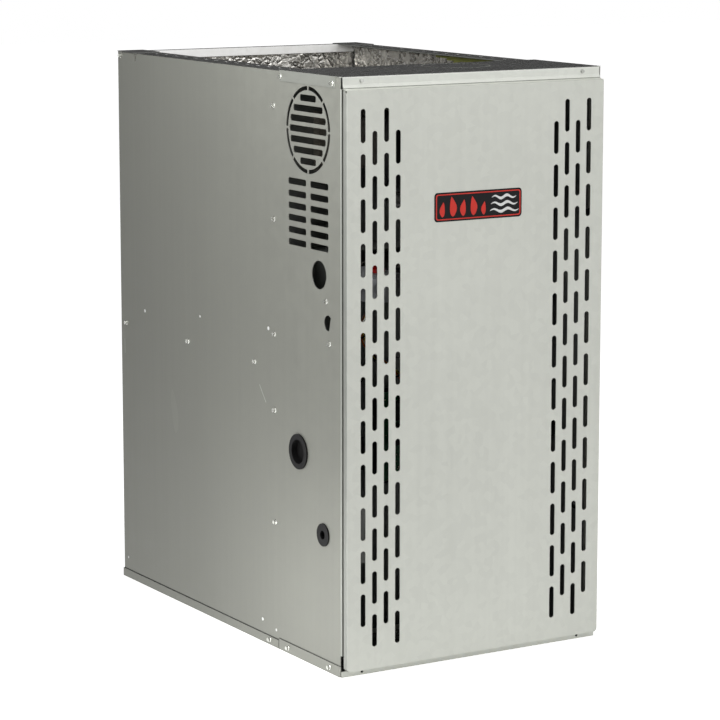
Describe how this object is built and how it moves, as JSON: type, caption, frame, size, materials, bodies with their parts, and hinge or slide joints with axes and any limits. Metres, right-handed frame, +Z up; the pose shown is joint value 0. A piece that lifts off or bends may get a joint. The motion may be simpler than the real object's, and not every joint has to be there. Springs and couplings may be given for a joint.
{
  "type": "forced air gas furnace",
  "caption": "Upright forced air gas furnace in a galvanised sheet cabinet: louvred lift-off door, side grilles, gas burners, serpentine heat tubes, vent inducer and centrifugal blower.",
  "frame": {"origin": "middle of the base, on the floor", "axes": "+Z up to the supply duct flange, front with the door faces -Y, +X to the right of a person facing the door"},
  "size_m": [0.4558, 0.7198, 0.864],
  "materials": {
    "galvanised_steel": "galvanised sheet, satin, faint spangle",
    "door_steel": "smooth light grey coated sheet, satin",
    "cover_steel": "dull galvanised sheet, darker than the sides",
    "badge_plate": "gloss black plate with red and white relief",
    "foil_blanket": "foil-faced glass fibre blanket, crinkled",
    "tube_steel": "aluminised steel tube, satin",
    "motor_paint": "semi-gloss black enamel",
    "machine_steel": "bright ground steel",
    "zinc_screw": "bright zinc plate",
    "black_rubber": "smooth black rubber",
    "black_plastic": "moulded black plastic",
    "white_ceramic": "unglazed white ceramic",
    "brass": "turned brass",
    "red_plastic": "red moulded plastic",
    "cast_metal": "die-cast, matt",
    "circuit_board": "green solder mask",
    "wire_sleeve": "black sleeved wires"
  },
  "bodies": {
    "cabinet": {"left_side_panel": "galvanised_steel", "right_side_panel": "galvanised_steel", "back_panel": "galvanised_steel", "top_front_cover": "cover_steel", "base_front_rail": "galvanised_steel", "base_pan_rear": "galvanised_steel", "rear_corner_gussets": "cover_steel", "vestibule_panel": "galvanised_steel", "blower_deck": "galvanised_steel", "blower_access_panel": "galvanised_steel", "left_insulation": "foil_blanket", "right_insulation": "foil_blanket", "rear_insulation": "foil_blanket", "heat_tube_1": "tube_steel", "heat_tube_2": "tube_steel", "heat_tube_3": "tube_steel", "heat_tube_4": "tube_steel", "tube_support": "galvanised_steel", "collector_box": "tube_steel", "inducer_housing": "motor_paint", "inducer_motor": "motor_paint", "burner_1": "tube_steel", "burner_2": "tube_steel", "burner_3": "tube_steel", "burner_4": "tube_steel", "burner_box": "galvanised_steel", "gas_manifold": "motor_paint", "burner_orifices": "brass", "gas_valve_body": "cast_metal", "igniter": "white_ceramic", "flame_sensor": "white_ceramic", "rollout_switches": "black_plastic", "limit_switch": "machine_steel", "pressure_switch": "black_plastic", "pressure_hose": "black_rubber", "blower_housing": "galvanised_steel", "blower_motor": "motor_paint", "motor_bracket": "galvanised_steel", "run_capacitor": "machine_steel", "control_board": "circuit_board", "control_tray": "black_plastic", "transformer": "motor_paint", "door_switch_body": "black_plastic", "junction_box": "galvanised_steel", "large_hole_plugs": "black_rubber", "cable_grommets": "black_rubber", "casing_screws": "zinc_screw", "wire_harness": "wire_sleeve"},
    "door": {"door_panel": "door_steel", "door_badge": "badge_plate"},
    "blower_rotor": {"blower_wheel": "galvanised_steel", "blower_shaft": "machine_steel"},
    "inducer_rotor": {"inducer_wheel": "machine_steel", "inducer_shaft": "machine_steel", "inducer_cooling_fan": "black_plastic"},
    "gas_knob": {"gas_valve_knob": "red_plastic"},
    "door_plunger": {"door_switch_plunger": "white_ceramic"},
    "reset_left": {"rollout_reset_left": "red_plastic"},
    "reset_right": {"rollout_reset_right": "red_plastic"},
    "fault_button": {"fault_button": "red_plastic"}
  },
  "joints": [
    {"name": "door_lift_off", "type": "slide", "parent": "cabinet", "child": "door", "axis": [0, -1, 0], "range_m": [0, 0.3]},
    {"name": "blower_spin", "type": "hinge", "parent": "cabinet", "child": "blower_rotor", "pos_m": [0, 0.094, 0.2], "axis": [1, 0, 0], "continuous": true},
    {"name": "inducer_spin", "type": "hinge", "parent": "cabinet", "child": "inducer_rotor", "pos_m": [0, -0.227, 0.755], "axis": [0, -1, 0], "continuous": true},
    {"name": "gas_knob_turn", "type": "hinge", "parent": "cabinet", "child": "gas_knob", "pos_m": [-0.129, -0.2845, 0.576], "axis": [0, 0, 1], "range_deg": [0, 90]},
    {"name": "door_switch_press", "type": "slide", "parent": "cabinet", "child": "door_plunger", "axis": [0, 1, 0], "range_m": [0, 0.003], "stiffness_N_per_m": 400, "springref_m": -0.001},
    {"name": "rollout_reset_left_press", "type": "slide", "parent": "cabinet", "child": "reset_left", "axis": [0, 1, 0], "range_m": [0, 0.0015], "stiffness_N_per_m": 600, "springref_m": -0.0005},
    {"name": "rollout_reset_right_press", "type": "slide", "parent": "cabinet", "child": "reset_right", "axis": [0, 1, 0], "range_m": [0, 0.0015], "stiffness_N_per_m": 600, "springref_m": -0.0005},
    {"name": "fault_button_press", "type": "slide", "parent": "cabinet", "child": "fault_button", "axis": [0, 1, 0], "range_m": [0, 0.001], "stiffness_N_per_m": 600, "springref_m": -0.0005}
  ]
}
